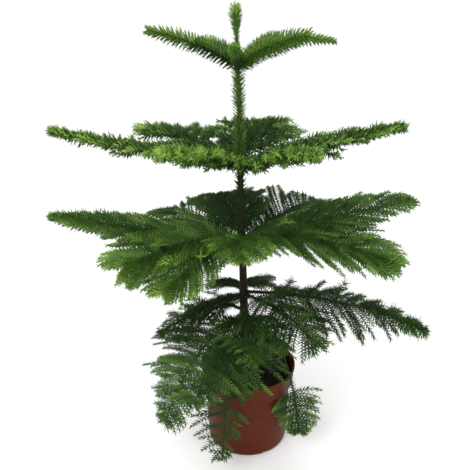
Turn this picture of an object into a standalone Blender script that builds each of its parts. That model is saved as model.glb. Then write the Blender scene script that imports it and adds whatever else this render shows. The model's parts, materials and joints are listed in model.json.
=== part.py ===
# A young Norfolk Island pine in a terracotta coloured nursery pot.
# Whorls of flat, fern-like fronds stand on one slim trunk, with a leafy leader above them.
# Metres, +Z up. The origin is the middle of the pot's flat underside. -Y is the front.

import math
import random
from collections import namedtuple

import bmesh
import bpy
from mathutils import Vector
from mathutils.bvhtree import BVHTree

GAP = 0.0003
UP = Vector((0, 0, 1))

# Pot
RIM_RADIUS = 0.095
POT_HEIGHT = 0.171
BAND_HEIGHT = 0.038
BAND_FOOT_RADIUS = 0.0905
SHOULDER_DROP = 0.0012
BODY_TOP_RADIUS = 0.0852
FOOT_RADIUS = 0.0802
FOOT_ROUNDING = 0.007
WALL = 0.0024
POT_SIDES = 32
DRAIN_COUNT = 6
DRAIN_TURN = -65
DRAIN_RADIUS = 0.015
DRAIN_HEIGHT = 0.006
DRAIN_DEPTH = 0.026

# Potting soil, up to a little below the rim
SOIL_TOP = 0.150
SOIL_SIDES = POT_SIDES // 2
SOIL_ROUGHNESS = 0.0016
SOIL_FLAT_RADIUS = 0.018

# Trunk, which leans towards -X as it rises
LEAN = math.tan(math.radians(1.75))
LEAN_FOOT = 0.018
CROOK = 0.0012
CROOK_FROM = 0.573
CROOK_LENGTH = 0.237
TRUNK_SIDES = 8
TRUNK_TOP = 0.8390
TRUNK_FOOT_RADIUS = 0.0096
TRUNK_TOP_RADIUS = 0.0017
ROOT_FLARE = 0.0048
ROOT_FLARE_HEIGHT = 0.016
NODE_SWELL = 0.0007
NODE_SWELL_HEIGHT = 0.008

# Needles that stand on the green part of the trunk, above and below the top whorl
TRUNK_NEEDLE_PITCH = 0.0118
TRUNK_NEEDLE_LENGTH = 0.0115
TRUNK_NEEDLE_LEAN = 52
TRUNK_NEEDLE_CLEARANCE = 0.015

# Fronds: a bare bough carries the leafy part from this share of the frond's length
BOUGH_SHARE = 0.17
STEM_SHARE = 0.90
STEM_STEPS = 4
BRANCHLET_PITCH = 0.0275
FEWEST_PAIRS = 2
END_SPRAY_FROM = 0.84
STAGGER = 2.1
BLADE_HALF_WIDTH = 0.0165
BLADE_TILT = math.radians(28)
BLADE_HALF_THICKNESS = 0.0015
BLADE_VALLEY = 0.50
TOOTH_PITCH = 0.038
MOST_TEETH = 3
BLADE_MARGIN = 0.0012
BLADE_FLOOR = 0.006

# Young shoots of the top whorl
SHOOT_SIDES = 5
SHOOT_NEEDLE_ROWS = 9
SHOOT_NEEDLE_LENGTH = 0.0165
SHOOT_NEEDLE_LEAN = 38

# One frond: its direction, how far out and up its tip is from its root, the slopes at which it
# leaves the trunk and ends, the length of its longest branchlets, how far they sag for their
# length, how blunt its end is, how far its plane is turned about its middle line, the share of it
# that is bare, and how thinly its branchlets are set. Angles are in degrees and azimuth 0 is +X.
Frond = namedtuple("Frond", "azimuth reach lift rise dip spread sag bluntness roll bare thin")

# One whorl: its fronds' branchlets turn from the middle line by `turn` degrees at the frond's
# root, and by `closing` degrees less at its tip.
Whorl = namedtuple("Whorl", "name height limb_radius turn closing fronds")

TOP_SHOOTS = Whorl("top", 0.745, 0.0021, 0, 0, (
    Frond(-94, 0.110, 0.036, 40, 10, 0, 0, 0, 0, 0, 1),
    Frond(-40, 0.138, 0.052, 36, 12, 0, 0, 0, 0, 0, 1),
    Frond(8, 0.168, 0.038, 32, -12, 0, 0, 0, 0, 0, 1),
    Frond(52, 0.122, 0.046, 38, 8, 0, 0, 0, 0, 0, 1),
    Frond(186, 0.148, 0.057, 34, 10, 0, 0, 0, 0, 0, 1),
    Frond(124, 0.125, 0.038, 36, 8, 0, 0, 0, 0, 0, 1),
))
WHORLS = (
    Whorl("upper", 0.573, 0.0024, 66, 22, (
        Frond(-56, 0.203, 0.056, 24, -4, 0.062, 0.10, 2.2, 0, 0.12, 1),
        Frond(-6, 0.280, 0.078, 22, 10, 0.068, 0.08, 2.2, 0, 0.12, 1),
        Frond(78, 0.250, 0.040, 22, 2, 0.106, 0.12, 3.4, 0, 0.12, 1),
        Frond(132, 0.260, 0.036, 22, 0, 0.106, 0.12, 3.6, 5, 0.12, 1),
        Frond(183, 0.330, 0.070, 12, 12, 0.060, 0.10, 1.8, 0, 0.12, 1),
        Frond(238, 0.212, 0.064, 24, 6, 0.074, 0.12, 3.4, 0, 0.12, 1),
    )),
    Whorl("middle", 0.434, 0.0027, 66, 22, (
        Frond(234, 0.212, -0.020, 14, -24, 0.104, 0.20, 4.0, 0, 0.12, 1),
        Frond(-92, 0.138, 0.020, 26, -14, 0.074, 0.16, 2.8, 0, 0.12, 1),
        Frond(-30, 0.282, 0.014, 18, -14, 0.122, 0.22, 3.0, 0, 0.12, 1),
        Frond(-3, 0.302, 0.082, 20, 10, 0.092, 0.14, 3.4, 4, 0.12, 1),
        Frond(52, 0.270, 0.004, 14, -8, 0.090, 0.14, 3.0, 0, 0.12, 1),
        Frond(104, 0.236, 0.016, 26, -10, 0.084, 0.14, 2.8, 0, 0.12, 1),
        Frond(139, 0.226, -0.001, 26, -26, 0.088, 0.14, 2.8, 0, 0.12, 1),
        Frond(186, 0.346, 0.061, 8, 10, 0.078, 0.14, 2.2, -8, 0.12, 1),
        Frond(211, 0.228, 0.000, 18, -16, 0.112, 0.20, 5.0, -4, 0.12, 1),
    )),
    Whorl("lower", 0.328, 0.0029, 68, 20, (
        Frond(-46, 0.182, -0.040, 10, -34, 0.094, 0.24, 3.4, 0, 0.16, 1),
        Frond(-8, 0.350, -0.057, 3, -24, 0.098, 0.30, 2.0, 0, 0.16, 1),
        Frond(92, 0.205, -0.085, -24, -26, 0.085, 0.20, 2.4, 0, 0.16, 1),
        Frond(198, 0.168, -0.060, 2, -24, 0.080, 0.16, 2.8, 0, 0.18, 1.8),
    )),
    Whorl("lowest", 0.280, 0.0029, 92, 6, (
        Frond(-34, 0.130, -0.234, 16, -87, 0.060, 0.12, 5.0, 60, 0.68, 1),
        Frond(-80, 0.142, -0.024, 22, -42, 0.084, 0.14, 3.0, 0, 0.16, 1),
        Frond(134, 0.175, -0.070, 6, -44, 0.085, 0.25, 2.4, 0, 0.16, 1),
        Frond(221, 0.198, -0.160, 12, -68, 0.106, 0.14, 3.4, 0, 0.30, 1),
        Frond(240, 0.180, -0.098, 20, -56, 0.146, 0.10, 5.0, 4, 0.14, 1),
        Frond(255, 0.160, -0.228, 18, -80, 0.086, 0.12, 4.0, 0, 0.50, 1.8),
    )),
)


def clear_scene():
    for obj in list(bpy.data.objects):
        bpy.data.objects.remove(obj, do_unlink=True)


def finish(name, colour, roughness):
    material = bpy.data.materials.new(name)
    material.use_nodes = True
    shader = material.node_tree.nodes["Principled BSDF"]
    shader.inputs["Base Color"].default_value = (*colour, 1)
    shader.inputs["Roughness"].default_value = roughness
    shader.inputs["Metallic"].default_value = 0
    material.diffuse_color = (*colour, 1)
    return material


def add_object(name, bm, material, collection=None):
    """Turns a bmesh into a named object, with its faces pointing out."""
    bmesh.ops.recalc_face_normals(bm, faces=bm.faces)
    mesh = bpy.data.meshes.new(name)
    bm.to_mesh(mesh)
    bm.free()
    mesh.materials.append(material)
    obj = bpy.data.objects.new(name, mesh)
    (collection or bpy.context.scene.collection).objects.link(obj)
    return obj


def temporary_collection(name):
    collection = bpy.data.collections.new(name)
    bpy.context.scene.collection.children.link(collection)
    return collection


def apply_boolean(obj, operation, collection):
    """Applies one Boolean with every object of a collection, and removes those objects."""
    modifier = obj.modifiers.new("Join", "BOOLEAN")
    modifier.operation = operation
    modifier.operand_type = "COLLECTION"
    modifier.collection = collection
    modifier.solver = "EXACT"
    bpy.context.view_layer.update()
    graph = bpy.context.evaluated_depsgraph_get()
    joined = bpy.data.meshes.new_from_object(obj.evaluated_get(graph))
    obj.modifiers.clear()
    obj.data = joined
    for used in list(collection.objects):
        bpy.data.objects.remove(used, do_unlink=True)
    bpy.data.collections.remove(collection)


def keep_largest_body(obj):
    """Drops the loose scraps and sealed hollows that a union can leave."""
    bm = bmesh.new()
    bm.from_mesh(obj.data)
    unseen = set(bm.verts)
    bodies = []
    while unseen:
        body, border = set(), [unseen.pop()]
        while border:
            vert = border.pop()
            body.add(vert)
            near = {edge.other_vert(vert) for edge in vert.link_edges} & unseen
            unseen -= near
            border.extend(near)
        bodies.append(body)
    largest = max(bodies, key=len)
    bmesh.ops.delete(bm, geom=[vert for vert in bm.verts if vert not in largest], context="VERTS")
    bm.to_mesh(obj.data)
    bm.free()


def middle_of(points):
    return sum(points, Vector()) / len(points)


def ring_round(centre, direction, radius, sides, turn=0.0):
    """Points of a circle about a centre, square to a direction."""
    across = UP.cross(direction)
    if across.length < 1e-6:
        across = Vector((1, 0, 0))
    across.normalize()
    upright = direction.cross(across).normalized()
    angles = [turn + math.tau * i / sides for i in range(sides)]
    return [centre + radius * (math.cos(a) * across + math.sin(a) * upright) for a in angles]


def draw_needle(bm, corners, axis_point, forward, length, lean):
    """Draws a face out to a point, as a needle that leans forward by an angle in degrees."""
    middle = middle_of([corner.co for corner in corners])
    out = middle - axis_point
    out = (out - out.dot(forward) * forward).normalized()
    angle = math.radians(lean)
    tip = bm.verts.new(middle + length * (out * math.cos(angle) + forward * math.sin(angle)))
    for corner, following in zip(corners, corners[1:] + corners[:1]):
        bm.faces.new((corner, following, tip))


def skin_limb(rings, needle_length=None, lean=0):
    """Skins closed rings of points, with a cap on each end, and returns the bmesh.

    needle_length(row, side) gives the length of the needle drawn out of each face, or 0.
    """
    bm = bmesh.new()
    rows = [[bm.verts.new(point) for point in ring] for ring in rings]
    sides = len(rows[0])
    bm.faces.new(reversed(rows[0]))
    bm.faces.new(rows[-1])
    for row, (low, high) in enumerate(zip(rows, rows[1:])):
        foot, head = middle_of(rings[row]), middle_of(rings[row + 1])
        for side in range(sides):
            after = (side + 1) % sides
            corners = [low[side], low[after], high[after], high[side]]
            length = needle_length(row, side) if needle_length else 0
            if length:
                forward = (head - foot).normalized()
                draw_needle(bm, corners, (foot + head) / 2, forward, length, lean)
            else:
                bm.faces.new(corners)
    return bm


def turned(profile, sides):
    """Spins a profile of (radius, height) points round the Z axis, and returns the bmesh."""
    bm = bmesh.new()
    verts = [bm.verts.new((radius, 0, height)) for radius, height in profile]
    edges = [bm.edges.new(pair) for pair in zip(verts, verts[1:])]
    bmesh.ops.spin(
        bm, geom=verts + edges, cent=(0, 0, 0), axis=(0, 0, 1),
        angle=math.tau, steps=sides, use_merge=True,
    )
    bmesh.ops.remove_doubles(bm, verts=bm.verts, dist=1e-6)
    return bm


def arc(centre, radius, start, end, steps):
    """(radius, height) points along a round corner, with angles in degrees."""
    angles = [math.radians(start + (end - start) * i / steps) for i in range(steps + 1)]
    return [(centre[0] + radius * math.cos(a), centre[1] + radius * math.sin(a)) for a in angles]


def inner_wall(clearance=0.0):
    """(radius, height) points up the pot's inside, from its floor's edge to the rim's foot."""
    band_foot = POT_HEIGHT - BAND_HEIGHT
    return [
        (FOOT_RADIUS - FOOT_ROUNDING - clearance, WALL + clearance),
        (FOOT_RADIUS - WALL - clearance, FOOT_ROUNDING + clearance),
        (BODY_TOP_RADIUS - WALL - clearance, band_foot + SHOULDER_DROP + clearance),
        (BAND_FOOT_RADIUS - WALL - clearance, band_foot + WALL + clearance),
    ]


def build_pot(material):
    """The pot: a barely tapered body, a tall band under the rim, and drain notches in its foot."""
    band_foot = POT_HEIGHT - BAND_HEIGHT
    lip = WALL / 2
    profile = [(0, 0)]
    profile += arc((FOOT_RADIUS - FOOT_ROUNDING, FOOT_ROUNDING), FOOT_ROUNDING, -90, 0, 2)
    profile += [(BODY_TOP_RADIUS, band_foot - SHOULDER_DROP), (BAND_FOOT_RADIUS, band_foot)]
    profile += arc((RIM_RADIUS - lip, POT_HEIGHT - lip), lip, 0, 180, 2)
    profile += reversed(inner_wall())
    profile += [(0, WALL)]
    pot = add_object("pot", turned(profile, POT_SIDES), material)
    notches = temporary_collection("drain notches")
    for i in range(DRAIN_COUNT):
        angle = math.radians(DRAIN_TURN + 360 * i / DRAIN_COUNT)
        out = Vector((math.cos(angle), math.sin(angle), 0))
        middle = out * FOOT_RADIUS + UP * (DRAIN_HEIGHT - DRAIN_RADIUS)
        rings = [ring_round(middle + out * reach, out, DRAIN_RADIUS, 16)
                 for reach in (-DRAIN_DEPTH / 2, DRAIN_DEPTH / 2)]
        add_object("notch", skin_limb(rings), material, notches)
    apply_boolean(pot, "DIFFERENCE", notches)
    pot.data.shade_smooth()
    pot.data.set_sharp_from_angle(angle=math.radians(35))
    return pot


def build_soil(material):
    """The soil that fills the pot. Its top is lumpy, but flat under the trunk."""
    rng = random.Random(11)
    rim_foot, rim = inner_wall(GAP)[-1], RIM_RADIUS - WALL - GAP
    share = (SOIL_TOP - rim_foot[1]) / (POT_HEIGHT - rim_foot[1])
    edge = rim_foot[0] + share * (rim - rim_foot[0])
    top = [(edge * part, SOIL_TOP) for part in (1, 0.8, 0.5)]
    profile = [(0, WALL + GAP), *inner_wall(GAP), *top, (SOIL_FLAT_RADIUS, SOIL_TOP), (0, SOIL_TOP)]
    bm = turned(profile, SOIL_SIDES)
    for vert in bm.verts:
        radius = math.hypot(vert.co.x, vert.co.y)
        if vert.co.z > SOIL_TOP - GAP and SOIL_FLAT_RADIUS + GAP < radius < edge - GAP:
            vert.co.z += rng.uniform(-1.0, 1.0) * SOIL_ROUGHNESS
    return add_object("soil", bm, material)


def trunk_centre(height):
    """The middle of the trunk at a height: it leans, with a slight crook in its green part."""
    crook = CROOK * math.sin(math.pi * max(0, height - CROOK_FROM) / CROOK_LENGTH)
    return Vector((crook - LEAN * (height - LEAN_FOOT), 0, height))


def node_heights():
    return [whorl.height for whorl in (*reversed(WHORLS), TOP_SHOOTS)]


def trunk_radius(height):
    """The trunk's radius: a straight taper, a flared foot and a slight swelling at each whorl."""
    share = (height - SOIL_TOP) / (TRUNK_TOP - SOIL_TOP)
    radius = TRUNK_FOOT_RADIUS + (TRUNK_TOP_RADIUS - TRUNK_FOOT_RADIUS) * share
    radius += ROOT_FLARE * math.exp(-(height - SOIL_TOP) / ROOT_FLARE_HEIGHT)
    for node in node_heights():
        radius += NODE_SWELL * math.exp(-((height - node) / NODE_SWELL_HEIGHT) ** 2)
    return radius


def corner_cosine(azimuth):
    """Cosine of the angle from a direction to the nearest corner of the faceted trunk."""
    step = 360 / TRUNK_SIDES
    return math.cos(math.radians((azimuth + step / 2) % step - step / 2))


def needle_rows(start, end):
    """Heights, one pitch apart or a little less, of the rows of needles along the trunk."""
    count = math.ceil((end - start) / TRUNK_NEEDLE_PITCH)
    return [start + (end - start) * i / count for i in range(count + 1)]


def build_trunk(material):
    """The trunk, from its flat cut on the soil to its tip, with needles on its green part."""
    foot = SOIL_TOP + GAP
    flare = [foot, foot + 0.006, foot + 0.014, foot + 0.028]
    whorls = [node + step * NODE_SWELL_HEIGHT for node in node_heights() for step in (-1, 0, 1)]
    clearance = TRUNK_NEEDLE_CLEARANCE
    stem = needle_rows(WHORLS[0].height + clearance, TOP_SHOOTS.height - clearance)
    leader = needle_rows(TOP_SHOOTS.height + clearance, TRUNK_TOP)
    heights = sorted(flare + whorls + stem + leader)
    needle_heights = {*stem[:-1], *leader[:-1]}

    def needle_length(row, side):
        leafy = heights[row] in needle_heights
        return TRUNK_NEEDLE_LENGTH if leafy and (row + side) % 2 else 0

    rings = [ring_round(trunk_centre(z), UP, trunk_radius(z), TRUNK_SIDES) for z in heights]
    return add_object("trunk", skin_limb(rings, needle_length, TRUNK_NEEDLE_LEAN), material)


class Axis:
    """The curved middle line of a frond, from the trunk's middle to the frond's tip."""

    def __init__(self, whorl, index):
        frond = whorl.fronds[index]
        angle = math.radians(frond.azimuth)
        self.out = Vector((math.cos(angle), math.sin(angle), 0))
        self.roll = math.radians(frond.roll)
        offset = STAGGER * whorl.limb_radius * (index % 3 - 1)
        chord = math.hypot(frond.reach, frond.lift)
        self.root = trunk_centre(whorl.height + offset)
        self.leave = chord * self.slope(frond.rise)
        self.arrive = chord * self.slope(frond.dip)
        self.tip = self.out * frond.reach + UP * (frond.lift - offset)
        heights = [self.root.z + step * whorl.limb_radius for step in (-1, 0, 1)]
        surface = max(trunk_radius(height) for height in heights) * corner_cosine(frond.azimuth)
        self.first_share = self.share_at(surface + GAP)

    def slope(self, degrees):
        return self.out * math.cos(math.radians(degrees)) + UP * math.sin(math.radians(degrees))

    def point(self, share):
        """A point at a share of the way from the trunk's middle to the tip."""
        s = share
        along = 3 * s ** 2 - 2 * s ** 3
        return (self.root + self.leave * (s ** 3 - 2 * s ** 2 + s)
                + self.tip * along + self.arrive * (s ** 3 - s ** 2))

    def share_at(self, distance):
        """The share at which the axis is this far out from the trunk's middle."""
        share = 0.0
        while (self.point(share) - self.root).dot(self.out) < distance:
            share += 0.0002
        return share

    def direction(self, share):
        step = 0.005
        return (self.point(share + step) - self.point(share - step)).normalized()

    def side(self, share):
        """Square to the middle line, towards the frond's left edge seen from the trunk."""
        forward = self.direction(share)
        level = UP.cross(forward).normalized()
        return level * math.cos(self.roll) + forward.cross(level) * math.sin(self.roll)


def limb_rings(whorl, axis, start, end, steps, sides, twist=0.0):
    """Rings along a frond's axis, tapering towards its tip."""
    rings = []
    for i in range(steps + 1):
        share = start + (end - start) * i / steps
        radius = whorl.limb_radius * (1 - 0.72 * share) + 0.0002
        facing = axis.out if share == axis.first_share else axis.direction(share)
        rings.append(ring_round(axis.point(share), facing, radius, sides, twist * i))
    return rings


def blade(path, across, half_width, half_thickness, teeth):
    """A spray of needles: a flat spine along a path, thick in its middle, toothed on both sides."""
    bm = bmesh.new()

    def place(t, aside, above):
        forward = (path(t + 0.02) - path(t - 0.02)).normalized()
        wide = (across - across.dot(forward) * forward).normalized()
        return bm.verts.new(path(t) + wide * aside + forward.cross(wide) * above)

    apex = bm.verts.new(path(1))
    shares = [i / teeth for i in range(teeth)]
    tops = [place(t, 0, half_thickness * (1 - 0.45 * t)) for t in shares] + [apex]
    bottoms = [place(t, 0, -half_thickness * (1 - 0.45 * t)) for t in shares] + [apex]
    valleys = {}
    for side in (1, -1):
        widths = [half_width * BLADE_VALLEY * (1 - 0.4 * t) for t in shares]
        widths[0] = half_thickness
        valleys[side] = [place(t, side * wide, 0) for t, wide in zip(shares, widths)] + [apex]
    bm.faces.new((tops[0], valleys[1][0], bottoms[0], valleys[-1][0]))
    for i in range(teeth):
        t = (i + 0.86) / teeth
        for side, valley in valleys.items():
            tooth = place(t, side * half_width * (1 - 0.55 * t * t), 0)
            for spine in (tops, bottoms):
                bm.faces.new((spine[i], spine[i + 1], tooth))
                bm.faces.new((spine[i], tooth, valley[i]))
                if i + 1 < teeth:
                    bm.faces.new((spine[i + 1], valley[i + 1], tooth))
    bmesh.ops.recalc_face_normals(bm, faces=bm.faces)
    return bm


def branchlet_length(frond, share):
    """Branchlets lengthen over the frond's first third and shorten to its tip."""
    return frond.spread * (1 - share ** frond.bluntness) ** 0.9 * (0.6 + 0.4 * min(1, share / 0.3))


def branchlets(whorl, index, axis):
    """Yields the path, the width direction and the length of each of a frond's branchlets."""
    frond = whorl.fronds[index]
    rng = random.Random(f"{whorl.name} {index}")
    first = max(BOUGH_SHARE, frond.bare) + 0.03
    last = END_SPRAY_FROM + 0.02
    pitch = BRANCHLET_PITCH * frond.thin
    pairs = max(FEWEST_PAIRS, round(axis.tip.length * (last - first) / pitch))
    for i in range(pairs):
        for side in (1, -1):
            share = first + (last - first) * (i + (0.25 if side > 0 else 0.75)) / pairs
            root, forward, left = axis.point(share), axis.direction(share), axis.side(share)
            turn = math.radians(whorl.turn - whorl.closing * share + rng.uniform(-5, 5))
            length = branchlet_length(frond, share) * rng.uniform(0.88, 1.08)
            start = forward * math.cos(turn) + left * side * math.sin(turn)
            bend = forward * 0.15 - UP * frond.sag * rng.uniform(0.85, 1.15)

            def path(t, root=root, start=start, bend=bend, length=length):
                return root + (start * t + bend * t * t) * length

            tilt = BLADE_TILT if (i + (side > 0)) % 2 else -BLADE_TILT
            across = forward * math.cos(tilt) + forward.cross(left) * math.sin(tilt)
            yield path, across, length


def end_spray(axis):
    """The blade that carries on from the end of a frond's stem to its tip."""
    def path(t):
        return axis.point(END_SPRAY_FROM + (1 - END_SPRAY_FROM) * t)

    return blade(path, axis.side(1), BLADE_HALF_WIDTH, BLADE_HALF_THICKNESS, 2)


def tree_of(bm):
    """A search tree of a bmesh's faces, which frees the bmesh."""
    tree = BVHTree.FromBMesh(bm)
    bm.free()
    return tree


def tree_of_object(obj):
    bm = bmesh.new()
    bm.from_mesh(obj.data)
    return tree_of(bm)


def plan_fronds():
    """Lists every frond with trees of its stem and end spray, so that the others keep clear."""
    plans = []
    for whorl in WHORLS:
        for index in range(len(whorl.fronds)):
            axis = Axis(whorl, index)
            stem = skin_limb(limb_rings(whorl, axis, BOUGH_SHARE, STEM_SHARE, STEM_STEPS, 3))
            plans.append((whorl, index, axis, [tree_of(stem), tree_of(end_spray(axis))]))
    return plans


def build_bough(name, whorl, axis, material):
    """The bare first stretch of a frond. Its flat root stands against the trunk."""
    rings = limb_rings(whorl, axis, axis.first_share, BOUGH_SHARE, 2, 5)
    return add_object(name, skin_limb(rings), material)


def build_mass(name, plan, plans, limbs, material):
    """A frond's leafy part: its stem, the spray at its end and a blade for each branchlet.

    A blade that would touch a limb, another frond or the ground is left off.
    """
    whorl, index, axis, own = plan
    obstacles = limbs + [tree for other in plans if other is not plan for tree in other[3]]
    blades = temporary_collection("blades")
    add_object("end spray", end_spray(axis), material, blades)
    for path, across, length in branchlets(whorl, index, axis):
        teeth = min(MOST_TEETH, max(2, round(length / TOOTH_PITCH)))
        swollen = blade(path, across, BLADE_HALF_WIDTH + BLADE_MARGIN,
                        BLADE_HALF_THICKNESS + BLADE_MARGIN, teeth)
        lowest = min(vert.co.z for vert in swollen.verts)
        space = tree_of(swollen)
        if lowest < BLADE_FLOOR or any(space.overlap(obstacle) for obstacle in obstacles):
            continue
        own.append(space)
        bm = blade(path, across, BLADE_HALF_WIDTH, BLADE_HALF_THICKNESS, teeth)
        add_object("blade", bm, material, blades)
    stem_start = BOUGH_SHARE + GAP / axis.tip.length
    stem = skin_limb(limb_rings(whorl, axis, stem_start, STEM_SHARE, STEM_STEPS, 3))
    mass = add_object(name, stem, material)
    apply_boolean(mass, "UNION", blades)
    keep_largest_body(mass)
    return mass


def build_shoot(name, index, material):
    """A young unbranched shoot of the top whorl, rooted on the trunk: a core full of needles."""
    axis = Axis(TOP_SHOOTS, index)
    start = axis.first_share
    twist = math.pi / SHOOT_SIDES

    def needle_length(row, side):
        growth = min(1, 0.3 + 0.35 * row)
        return SHOOT_NEEDLE_LENGTH * growth * (0.85 if (row + side) % 2 else 1)

    rings = limb_rings(TOP_SHOOTS, axis, start, 0.92, SHOOT_NEEDLE_ROWS, SHOOT_SIDES, twist)
    rings.append(ring_round(axis.point(1), axis.direction(1), 0.0003, SHOOT_SIDES))
    shoot = skin_limb(rings, needle_length, SHOOT_NEEDLE_LEAN)
    return add_object(name, shoot, material)


def main():
    clear_scene()
    terracotta = finish("terracotta plastic", (0.33, 0.095, 0.055), 0.5)
    peat = finish("potting soil", (0.018, 0.013, 0.010), 0.95)
    bark = finish("bark", (0.13, 0.085, 0.045), 0.8)
    green_wood = finish("green wood", (0.10, 0.13, 0.04), 0.7)
    leaf = finish("needles", (0.055, 0.17, 0.030), 0.55)
    new_leaf = finish("young needles", (0.13, 0.30, 0.045), 0.55)

    fixed = [build_pot(terracotta), build_soil(peat), build_trunk(bark)]
    plans = plan_fronds()
    for whorl, index, axis, _ in plans:
        fixed.append(build_bough(f"{whorl.name}_bough_{index + 1}", whorl, axis, green_wood))
    for index in range(len(TOP_SHOOTS.fronds)):
        fixed.append(build_shoot(f"top_shoot_{index + 1}", index, new_leaf))
    limbs = [tree_of_object(obj) for obj in fixed]
    for plan in plans:
        build_mass(f"{plan[0].name}_frond_{plan[1] + 1}", plan, plans, limbs, leaf)


main()
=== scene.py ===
import json
import math
import random

import bmesh
import bpy
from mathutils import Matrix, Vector, noise

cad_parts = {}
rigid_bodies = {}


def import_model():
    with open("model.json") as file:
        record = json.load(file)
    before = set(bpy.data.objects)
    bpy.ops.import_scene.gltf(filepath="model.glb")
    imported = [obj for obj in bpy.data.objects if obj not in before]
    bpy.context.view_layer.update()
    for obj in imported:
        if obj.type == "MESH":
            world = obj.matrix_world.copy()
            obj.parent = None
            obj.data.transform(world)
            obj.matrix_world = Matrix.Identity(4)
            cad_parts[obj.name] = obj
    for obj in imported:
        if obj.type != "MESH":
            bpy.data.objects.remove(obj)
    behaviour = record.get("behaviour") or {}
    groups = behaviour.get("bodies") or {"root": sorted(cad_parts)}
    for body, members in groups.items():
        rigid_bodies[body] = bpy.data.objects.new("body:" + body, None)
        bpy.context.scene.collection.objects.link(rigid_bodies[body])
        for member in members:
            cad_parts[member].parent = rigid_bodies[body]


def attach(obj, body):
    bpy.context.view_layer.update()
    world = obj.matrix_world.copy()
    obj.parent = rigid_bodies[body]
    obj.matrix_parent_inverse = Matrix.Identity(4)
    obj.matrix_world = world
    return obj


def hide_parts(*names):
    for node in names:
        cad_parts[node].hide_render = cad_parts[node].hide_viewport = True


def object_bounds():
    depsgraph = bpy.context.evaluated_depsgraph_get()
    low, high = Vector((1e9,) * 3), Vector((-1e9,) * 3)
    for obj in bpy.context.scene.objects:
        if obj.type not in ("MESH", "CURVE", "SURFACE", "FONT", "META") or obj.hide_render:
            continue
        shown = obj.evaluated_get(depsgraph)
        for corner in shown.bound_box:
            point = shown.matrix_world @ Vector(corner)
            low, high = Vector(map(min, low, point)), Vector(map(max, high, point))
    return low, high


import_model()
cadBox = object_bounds()
print("frame loaded, box", cadBox)

up = Vector((0, 0, 1))
goldenAngle = math.pi * (3 - math.sqrt(5))


# growing rule, as the solids have it

trunk = {
    "soilTop": 0.150, "top": 0.8390, "footRadius": 0.0096, "topRadius": 0.0017,
    "lean": math.tan(math.radians(1.75)), "leanFoot": 0.018,
    "crook": 0.0012, "crookFrom": 0.573, "crookLength": 0.237,
    "flare": 0.0048, "flareHeight": 0.016, "swell": 0.0007, "swellHeight": 0.008,
    "stagger": 2.1,
}

growth = {
    "limbTaper": 0.72, "limbTip": 0.0002,   # share of its radius that a limb loses, and an extra
    "rootLength": 0.6, "fullFrom": 0.3,     # branchlets' share at the root, and from where it is whole
    "tipRounding": 0.9,
}

# azimuth, reach, lift, rise, dip, spread, sag, bluntness, roll, bare and thin of each frond
whorls = [
    {"name": "top", "height": 0.745, "limbRadius": 0.0021, "fronds": [
        (-94, 0.110, 0.036, 40, 10, 0, 0, 0, 0, 0, 1),
        (-40, 0.138, 0.052, 36, 12, 0, 0, 0, 0, 0, 1),
        (8, 0.168, 0.038, 32, -12, 0, 0, 0, 0, 0, 1),
        (52, 0.122, 0.046, 38, 8, 0, 0, 0, 0, 0, 1),
        (186, 0.148, 0.057, 34, 10, 0, 0, 0, 0, 0, 1),
        (124, 0.125, 0.038, 36, 8, 0, 0, 0, 0, 0, 1)]},
    {"name": "upper", "height": 0.573, "limbRadius": 0.0024, "fronds": [
        (-56, 0.203, 0.056, 24, -4, 0.062, 0.10, 2.2, 0, 0.12, 1),
        (-6, 0.280, 0.078, 22, 10, 0.068, 0.08, 2.2, 0, 0.12, 1),
        (78, 0.250, 0.040, 22, 2, 0.106, 0.12, 3.4, 0, 0.12, 1),
        (132, 0.260, 0.036, 22, 0, 0.106, 0.12, 3.6, 5, 0.12, 1),
        (183, 0.330, 0.070, 12, 12, 0.060, 0.10, 1.8, 0, 0.12, 1),
        (238, 0.212, 0.064, 24, 6, 0.074, 0.12, 3.4, 0, 0.12, 1)]},
    {"name": "middle", "height": 0.434, "limbRadius": 0.0027, "fronds": [
        (234, 0.212, -0.020, 14, -24, 0.104, 0.20, 4.0, 0, 0.12, 1),
        (-92, 0.138, 0.020, 26, -14, 0.074, 0.16, 2.8, 0, 0.12, 1),
        (-30, 0.282, 0.014, 18, -14, 0.122, 0.22, 3.0, 0, 0.12, 1),
        (-3, 0.302, 0.082, 20, 10, 0.092, 0.14, 3.4, 4, 0.12, 1),
        (52, 0.270, 0.004, 14, -8, 0.090, 0.14, 3.0, 0, 0.12, 1),
        (104, 0.236, 0.016, 26, -10, 0.084, 0.14, 2.8, 0, 0.12, 1),
        (139, 0.226, -0.001, 26, -26, 0.088, 0.14, 2.8, 0, 0.12, 1),
        (186, 0.346, 0.061, 8, 10, 0.078, 0.14, 2.2, -8, 0.12, 1),
        (211, 0.228, 0.000, 18, -16, 0.112, 0.20, 5.0, -4, 0.12, 1)]},
    {"name": "lower", "height": 0.328, "limbRadius": 0.0029, "fronds": [
        (-46, 0.182, -0.040, 10, -34, 0.094, 0.24, 3.4, 0, 0.16, 1),
        (-8, 0.350, -0.057, 3, -24, 0.098, 0.30, 2.0, 0, 0.16, 1),
        (92, 0.205, -0.085, -24, -26, 0.085, 0.20, 2.4, 0, 0.16, 1),
        (198, 0.168, -0.060, 2, -24, 0.080, 0.16, 2.8, 0, 0.18, 1.8)]},
    {"name": "lowest", "height": 0.280, "limbRadius": 0.0029, "fronds": [
        (-34, 0.130, -0.234, 16, -87, 0.060, 0.12, 5.0, 60, 0.68, 1),
        (-80, 0.142, -0.024, 22, -42, 0.084, 0.14, 3.0, 0, 0.16, 1),
        (134, 0.175, -0.070, 6, -44, 0.085, 0.25, 2.4, 0, 0.16, 1),
        (221, 0.198, -0.160, 12, -68, 0.106, 0.14, 3.4, 0, 0.30, 1),
        (240, 0.180, -0.098, 20, -56, 0.146, 0.10, 5.0, 4, 0.14, 1),
        (255, 0.160, -0.228, 18, -80, 0.086, 0.12, 4.0, 0, 0.50, 1.8)]},
]


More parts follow.
